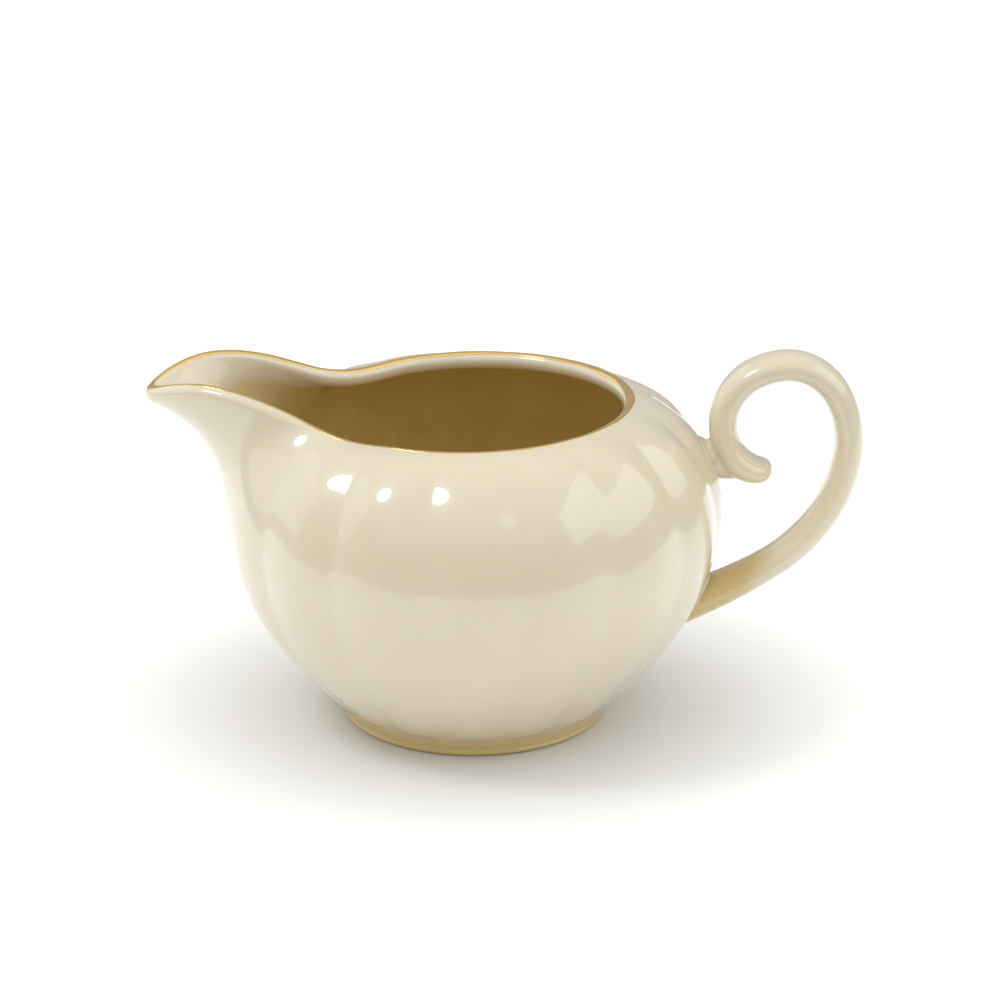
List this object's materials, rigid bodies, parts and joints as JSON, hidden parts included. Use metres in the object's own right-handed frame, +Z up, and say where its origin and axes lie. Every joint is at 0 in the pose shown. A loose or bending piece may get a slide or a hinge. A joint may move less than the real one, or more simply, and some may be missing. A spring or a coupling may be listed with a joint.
{
  "type": "cream jug",
  "caption": "Porcelain cream jug with a fluted round bowl on a foot ring, a drawn-out spout, a C-scroll handle and a thin gold line on the lip.",
  "frame": {"origin": "on the table, at the centre of the foot ring", "axes": "+Z up, spout towards -X, handle towards +X, the XZ plane mirrors the jug"},
  "size_m": [0.1492, 0.1052, 0.0799],
  "materials": {
    "porcelain": "clear gloss glaze over cream porcelain",
    "slip": "fired luting slip under the same glaze",
    "gold": "bright fired gold"
  },
  "bodies": {
    "root": {"jug_body": "porcelain", "handle": "porcelain", "upper_slip_joint": "slip", "lower_slip_joint": "slip", "gold_rim_line": "gold"}
  },
  "joints": []
}
